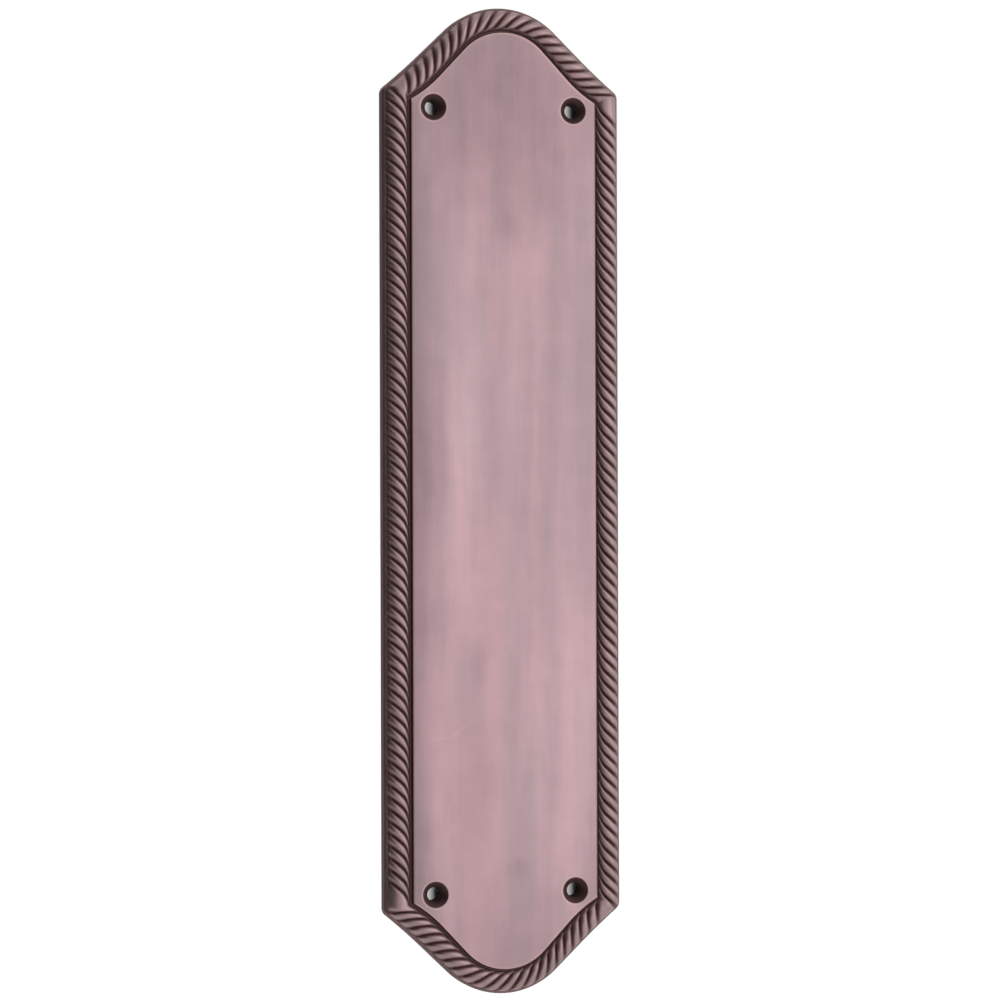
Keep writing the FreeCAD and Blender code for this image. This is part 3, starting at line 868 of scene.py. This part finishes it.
# Where the face is paler or, below zero, darker, partly from uneven polish and partly as painted reflection
# and shade, such as the darker left edge and the darker top and bottom: the middle (x, z) of each soft
# patch, how far it reaches across and along the plate, and how much it changes the tone
POLISH_AND_REFLECTION_PATCHES = (
    (-31, 0, 14, 200, -0.42), (-12, 22, 9, 75, 0.24), (-21, -95, 5, 50, 0.05), (-17, 10, 3, 95, 0.05),
    (3, 60, 5, 60, 0.04), (14, 60, 9, 75, -0.05), (20, -62, 12, 75, 0.15), (8, -75, 6, 45, 0.10),
    (0, 122, 48, 56, -0.28), (0, -140, 46, 40, -0.16), (-26, -112, 10, 34, -0.16), (27, -112, 8, 30, -0.10),
    (-7, -52, 4, 16, -0.14), (4, -113, 4, 4, -0.10), (-16, -70, 9, 1.2, 0.07), (2, 82, 6, 14, -0.12),
    (26, 35, 6, 60, -0.10), (1, 22, 8, 40, 0.09),
    (10, 50, 6, 50, 0.06), (-10, -88, 8, 38, -0.13), (2, 112, 8, 12, 0.05), (-18, 60, 10, 30, -0.05),
)
# How far noise moves the patches' edges across and along the plate, in metres
PATCH_DRIFT = (0.012, 0, 0.03)
# Where the face is a cooler grey, in the same way
COOL_PATCHES = ((24, 35, 15, 85, 0.9), (2, -20, 8, 110, 0.45), (-9, -55, 6, 30, 0.5),
                (-24, -10, 5, 100, 0.2), (22, -80, 10, 60, 0.3))


def patches(w, place, listed):
    """The soft patches of a list, added up."""
    total = 0.0
    for x, z, across, along, amount in listed:
        from_middle = w.vector("SUBTRACT", place, (x * MM, 0, z * MM))
        in_reaches = w.vector("MULTIPLY", from_middle, (1 / (across * MM), 0, 1 / (along * MM)))
        away = w.vector("LENGTH", in_reaches)
        total = w.math("ADD", w.between(away, 0.0, 1.0, amount, 0.0), total)
    return total


def panel_material(colours, wear_and_shade_levels, streaks):
    """The flat face: rubbed copper with soft pink and grey streaks, darker towards its edges by painted
    reflection and shade, with painted shade beside the rope and in the countersinks and a painted highlight
    on some edges.
    """
    material, w, shader = new_material("copper_face")
    polish = grouped(w, streaks, Breadth=1.0)
    worn_and_shaded = grouped(w, wear_and_shade_levels, Recess=w.field("recess"), Unevenness=0.05, Start=0.15, End=0.8)
    place = w.place()
    drift = w.noise(place, 30.0, roughness=0.5, output="Color")
    drift = w.vector("SUBTRACT", drift, (0.5, 0.5, 0.5))
    drift = w.vector("MULTIPLY_ADD", drift, PATCH_DRIFT, place)
    cool = w.math("MULTIPLY", polish["Streaks"], w.math("SUBTRACT", 1.0, patches(w, drift, COOL_PATCHES)))
    face = w.blend(cool, opaque(colours.grey), opaque(colours.pink))
    mottle = w.between(w.noise(place, 140.0, roughness=0.55), 0.3, 0.7, 0.475, 0.525)
    streaked = w.between(polish["Streaks"], 0.2, 0.8, 0.465, 0.535)
    # Tone: patches of polish and of painted reflection and shade, with mottle and streaks.
    tone = w.math("ADD", patches(w, drift, POLISH_AND_REFLECTION_PATCHES), w.math("ADD", mottle, streaked))
    face = w.vector("SCALE", face, scale=tone)
    # Polished edges with a painted highlight, along the arches' edges and the countersinks' rims.
    face = w.blend(w.math("MULTIPLY", w.field("edge"), 0.8), face, opaque(colours.edge))
    # Painted shade along the panel's border beside the crevice and on the countersinks' rims.
    face = w.blend(worn_and_shaded["Patina and painted shade"], face, opaque(colours.patina))
    w.fill(shader.inputs, {
        "Base Color": face, "Metallic": 0.85,
        "Roughness": w.between(polish["Fine lines"], 0.3, 0.7, 0.36, 0.46),
        "Normal": bump(w, polish["Fine lines"], strength=0.12, distance=0.04 * MM)})
    return material


def border_material(colours, wear_and_shade_levels):
    """The rope and the outer band: rubbed crests over dark brown grooves, with painted shade beside the
    panel and near black painted shade in the crevice.
    """
    material, w, shader = new_material("copper_rope")
    place = w.place()
    worn_and_shaded = grouped(w, wear_and_shade_levels, Recess=w.field("recess"), Unevenness=0.22, Start=0.12, End=0.72)
    tint = w.between(w.noise(place, 120.0), 0.3, 0.7, 0.05, 0.42)
    crest = w.blend(tint, opaque(colours.crest), opaque(colours.pink))
    # Polished edges with a painted highlight on the band's bevel and the back edge.
    crest = w.blend(w.math("MULTIPLY", w.field("edge"), 0.6), crest, opaque(colours.edge))
    # Patina in the grooves; painted shade on the strip beside the panel and at the band's foot.
    skin = w.blend(worn_and_shaded["Patina and painted shade"], crest, opaque(colours.patina))
    # Painted shade: near black in the crevice and at the groove bottoms.
    skin = w.blend(worn_and_shaded["Crevice shade"], skin, opaque(colours.crevice))
    w.fill(shader.inputs, {
        "Base Color": skin,
        "Metallic": w.between(worn_and_shaded["Patina and painted shade"], 0.0, 1.0, 0.85, 0.35),
        "Roughness": w.between(worn_and_shaded["Patina and painted shade"], 0.0, 1.0, 0.41, 0.52),
        "Normal": bump(w, w.noise(place, 2200.0), strength=0.2, distance=0.05 * MM)})
    return material


def back_material(colours, wear_and_shade_levels):
    """Sides of the holes and the cast back: dark patina over a sandy surface, with near black painted shade
    in the bores and hollows.
    """
    material, w, shader = new_material("patina_back")
    place = w.place()
    mottle = w.between(w.noise(place, 90.0, detail=4.0), 0.35, 0.7)
    skin = w.blend(mottle, opaque(colours.patina), opaque(colours.wall))
    worn_and_shaded = grouped(w, wear_and_shade_levels, Recess=w.field("recess"), Unevenness=0.3, Start=0.3, End=1.1)
    # Painted shade: near black in the bores, the countersinks and the back's hollows.
    skin = w.blend(w.math("MULTIPLY", worn_and_shaded["Crevice shade"], 0.8), skin, opaque(colours.crevice))
    w.fill(shader.inputs, {
        "Base Color": skin, "Metallic": 0.4, "Roughness": w.between(mottle, 0.0, 1.0, 0.6, 0.45),
        "Normal": bump(w, w.noise(place, 1400.0, detail=4.0), strength=0.5, distance=0.12 * MM)})
    return material


def rope_relief_tree(materials):
    """Geometry nodes that sink the grooves into the smooth border and give each zone its finish."""
    tree, w, taken, out = new_group("rope_relief", "GeometryNodeTree", [
        ("Geometry", GEOMETRY, None), ("Groove depth", FLOAT, 0.001), ("Roundness", FLOAT, 2.0),
        ("Unevenness", FLOAT, 0.0), ("Seed", "NodeSocketInt", 7)],
        [("Geometry", GEOMETRY, None)])
    tree.is_modifier = True

    def field(name, kind="FLOAT"):
        made = w.node("GeometryNodeInputNamedAttribute", {"Name": name}, data_type=kind)
        return made.outputs["Attribute"]

    strand, carve = field("strand"), field("carve")
    from_groove = w.math("ABSOLUTE", w.math("SUBTRACT", strand, w.math("ROUND", strand)))
    across = w.math("MULTIPLY_ADD", from_groove, -2.0, 1.0, clamp=True)
    hollow = w.math("POWER", across, taken["Roundness"])
    groove = w.math("MULTIPLY", hollow, taken["Groove depth"])
    strand_number = w.node("FunctionNodeFloatToInt", {0: w.math("FLOOR", strand)}, rounding_mode="FLOOR")
    own = w.node("FunctionNodeRandomValue", {"ID": strand_number.outputs[0], "Seed": taken["Seed"]},
                 data_type="FLOAT")
    crown = w.math("MULTIPLY", w.math("SUBTRACT", 1.0, hollow), taken["Unevenness"])
    lowered = w.math("MULTIPLY_ADD", own.outputs[1], crown, groove)
    sunk = w.math("MULTIPLY", w.math("MULTIPLY", lowered, carve), -1.0)
    move = w.vector("SCALE", field("sink", "FLOAT_VECTOR"), scale=sunk)
    moved = w.node("GeometryNodeSetPosition", {"Geometry": taken["Geometry"], "Offset": move})
    # The groove's darkness goes into the recess: patina in the groove, and near black painted shade at its
    # bottom.
    carved = w.math("MINIMUM", w.math("MULTIPLY", carve, 1.6), 1.0)
    dark = w.math("MULTIPLY", w.math("POWER", across, 1.6), carved)
    kept = w.node("GeometryNodeStoreNamedAttribute", {
        "Geometry": moved.outputs[0], "Name": "recess", "Value": w.math("MAXIMUM", dark, field("recess"))},
        data_type="FLOAT", domain="POINT")
    geometry = w.node("GeometryNodeRealizeInstances", {"Geometry": kept.outputs[0]}).outputs[0]
    for number, material in enumerate(materials):
        chosen = w.node("FunctionNodeCompare", data_type="INT", operation="EQUAL")
        w.fill(chosen.inputs, {2: field("zone", "INT"), 3: number})
        geometry = w.node("GeometryNodeSetMaterial", {
            "Geometry": geometry, "Selection": chosen.outputs[0], "Material": material}).outputs[0]
    w.feed(out["Geometry"], geometry)
    return tree


def apply_tree(piece, tree, **values):
    """Run a geometry node tree on a piece and keep the result as its plain mesh."""
    modifier = piece.modifiers.new(tree.name, "NODES")
    modifier.node_group = tree
    sockets = {item.name: item.identifier for item in tree.interface.items_tree
               if item.item_type == "SOCKET" and item.in_out == "INPUT"}
    for name, value in values.items():
        modifier[sockets[name.replace("_", " ")]] = value
    bpy.context.view_layer.update()
    evaluated = piece.evaluated_get(bpy.context.evaluated_depsgraph_get())
    finished = bpy.data.meshes.new_from_object(evaluated)
    piece.modifiers.clear()
    piece.data = finished


def linked_object(name, data):
    made = bpy.data.objects.new(name, data)
    bpy.context.scene.collection.objects.link(made)
    return made


# Operators

class FINGERPLATE_OT_casting(bpy.types.Operator):
    """Build the one-piece casting with its panel, rope border, holes and hollow back"""
    bl_idname = "fingerplate.casting"
    bl_label = "Plate casting"

    def execute(self, context):
        plate, rope, colours = (context.scene.plate_sizes, context.scene.rope_sizes,
                                context.scene.copper_colours)
        outline = Outline(plate, rope)
        casting = Casting()
        border_ends = build_border(casting, outline, plate, rope)
        face_rings, back_rings = zip(border_ends, *build_holes(casting, plate))
        build_panel(casting, plate, face_rings)
        build_back(casting, outline, plate, back_rings)
        piece = linked_object(PIECE, casting.mesh(PIECE))
        wear_and_shade_levels = wear_and_shade_group()
        materials = [panel_material(colours, wear_and_shade_levels, polish_streaks_group()),
                     border_material(colours, wear_and_shade_levels), back_material(colours, wear_and_shade_levels)]
        apply_tree(piece, rope_relief_tree(materials), Groove_depth=rope.groove_depth,
                   Roundness=rope.roundness, Unevenness=rope.unevenness)
        piece.data.shade_smooth()
        piece.data.set_sharp_from_angle(angle=math.radians(34))
        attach(piece, "root")
        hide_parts(NODE)
        return {"FINISHED"}


def area_light(name, place, size, power):
    """A rectangular light that faces the middle of the plate."""
    light = bpy.data.lights.new(name, "AREA")
    light.shape = "RECTANGLE"
    light.size, light.size_y = size
    light.energy = power
    lamp = linked_object(name, light)
    lamp.location = place
    lamp.rotation_euler = Vector(place).to_track_quat("Z", "Y").to_euler()


def card(name, corners, material):
    """A flat stage piece from its corner points."""
    mesh = bpy.data.meshes.new(name)
    mesh.from_pydata(corners, [], [tuple(range(len(corners)))])
    mesh.materials.append(material)
    piece = linked_object(name, mesh)
    return piece


def bare_tree(owner):
    """The wiring of a material's or a world's tree, without its first nodes."""
    owner.use_nodes = True
    owner.node_tree.nodes.clear()
    return Wiring(owner.node_tree)


def show_front_only(wiring, shader):
    """End a material with a shader that the back of a face doesn't show."""
    behind = wiring.node("ShaderNodeNewGeometry").outputs["Backfacing"]
    clear = wiring.node("ShaderNodeBsdfTransparent").outputs[0]
    wiring.node("ShaderNodeOutputMaterial", {"Surface": wiring.mix(behind, shader, clear)})


def seen_directly(wiring):
    """1 for rays of the camera and those that gloss and glass send on."""
    rays = wiring.node("ShaderNodeLightPath").outputs
    seen = wiring.math("MAXIMUM", rays["Is Camera Ray"], rays["Is Glossy Ray"])
    return wiring.math("MAXIMUM", seen, rays["Is Transmission Ray"])


class FINGERPLATE_OT_stage(bpy.types.Operator):
    """Set the pale floor, the soft light and the camera"""
    bl_idname = "fingerplate.stage"
    bl_label = "Studio"

    def execute(self, context):
        settings = context.scene.stage_settings
        self.set_world(context, settings)
        self.set_floor(settings)
        area_light("key_light", (0.9, -0.75, 0.35), (1.3, 1.6), settings.key_power)
        self.set_painted_bore_cards(context)
        self.set_flag()
        self.set_camera(context, settings)
        context.scene.view_settings.view_transform = "Standard"
        return {"FINISHED"}

    def set_world(self, context, settings):
        world = bpy.data.worlds.new("studio")
        w = bare_tree(world)
        fill, white = (w.node("ShaderNodeBackground", {"Color": WHITE, "Strength": level}).outputs[0]
                       for level in (settings.fill, 1.0))
        w.node("ShaderNodeOutputWorld", {"Surface": w.mix(seen_directly(w), fill, white)})
        context.scene.world = world

    def set_floor(self, settings):
        """A floor that looks white and lights the plate as pale paper does."""
        material = bpy.data.materials.new("pale_floor")
        w = bare_tree(material)
        paper = w.node("ShaderNodeBsdfDiffuse", {"Color": (0.82, 0.82, 0.82, 1)}).outputs[0]
        glow = w.node("ShaderNodeEmission", {"Color": WHITE, "Strength": 0.5}).outputs[0]
        lit = w.node("ShaderNodeAddShader", {0: paper, 1: glow}).outputs[0]
        show_front_only(w, w.mix(seen_directly(w), paper, lit))
        height = LOW.z - settings.floor_drop
        reach = 30.0
        corners = [(-reach, -reach), (reach, -reach), (reach, reach), (-reach, reach)]
        card("floor", [(x, y, height) for x, y in corners], material)

    def set_painted_bore_cards(self, context):
        """A round card in the end of each bore that glows with painted shade, pale on the left and near
        black on the right, and only shows from the front.
        """
        darkest, share_of_bounces = 0.01, 0.3
        middle_tone, shading = 0.41, 0.52
        material = bpy.data.materials.new("shaded_card")
        w = bare_tree(material)
        seen = w.math("MAXIMUM", w.node("ShaderNodeLightPath").outputs["Is Camera Ray"], share_of_bounces)
        tone = w.math("MAXIMUM", w.field("tone"), darkest)
        # The card glows with its painted shade for the camera, and more weakly for bounced light.
        glow = w.node("ShaderNodeEmission", {"Strength": w.math("MULTIPLY", tone, seen)})
        show_front_only(w, glow.outputs[0])
        plate = context.scene.plate_sizes
        reach, above_back = plate.bore_radius - 0.02 * MM, 0.1 * MM
        for number, centre in enumerate(hole_centres(plate)):
            ring = raised(circle(centre, reach, HOLE_STEPS), above_back)
            painted_card = card("painted_bore_card_%d" % number, ring.tolist(), material)
            across = (ring[:, 0] - centre[0]) / reach
            store(painted_card.data, "tone", middle_tone - shading * across)

    def set_flag(self):
        """A dark card on the left, which keeps the light off what faces that way."""
        material, w, shader = new_material("dark_card")
        w.fill(shader.inputs, {"Base Color": (0.03, 0.028, 0.028, 1), "Roughness": 1.0})
        left, front, rear, low, high = -0.9, -1.9, 2.5, -3.0, 1.0
        flag = card("left_flag", [(left, front, low), (left, rear, low), (left, rear, high),
                                  (left, front, high)], material)
        flag.visible_camera = False

    def set_camera(self, context, settings):
        camera = bpy.data.cameras.new("camera")
        camera.sensor_width = 36.0
        camera.lens = settings.lens
        upright = TURN / 4
        turned = (Matrix.Rotation(-settings.yaw, 4, "Z") @ Matrix.Rotation(upright + settings.pitch, 4, "X")
                  @ Matrix.Rotation(-settings.roll, 4, "Z"))
        target = Vector((settings.aim_across, -context.scene.plate_sizes.panel_height, settings.aim_up))
        camera.clip_start, camera.clip_end = 0.01, 100.0
        eye = linked_object("camera", camera)
        eye.matrix_world = Matrix.Translation(target + turned.col[2].xyz * settings.distance) @ turned
        context.scene.camera = eye


class FINGERPLATE_PT_sidebar(bpy.types.Panel):
    """Sizes, colours and the steps that build the plate"""
    bl_idname = "FINGERPLATE_PT_sidebar"
    bl_label = "Finger plate"
    bl_space_type = "VIEW_3D"
    bl_region_type = "UI"
    bl_category = "Finger plate"

    def draw(self, context):
        for operator in OPERATORS:
            self.layout.operator(operator.bl_idname)
        for name in SETTINGS:
            box = self.layout.box()
            group = getattr(context.scene, name)
            for setting in group.bl_rna.properties:
                if not setting.is_readonly and setting.identifier != "name":
                    box.prop(group, setting.identifier)


SETTINGS = {"plate_sizes": PlateSizes, "rope_sizes": RopeSizes, "copper_colours": CopperColours,
            "stage_settings": StageSettings}
OPERATORS = (FINGERPLATE_OT_casting, FINGERPLATE_OT_stage)
CLASSES = (*SETTINGS.values(), *OPERATORS, FINGERPLATE_PT_sidebar)


def register():
    for made in CLASSES:
        bpy.utils.register_class(made)
    for name, group in SETTINGS.items():
        setattr(bpy.types.Scene, name, PointerProperty(type=group))


def unregister():
    for name in SETTINGS:
        delattr(bpy.types.Scene, name)
    for made in reversed(CLASSES):
        bpy.utils.unregister_class(made)


def main():
    register()
    bpy.ops.fingerplate.casting()
    bpy.ops.fingerplate.stage()


if __name__ == "__main__":
    main()
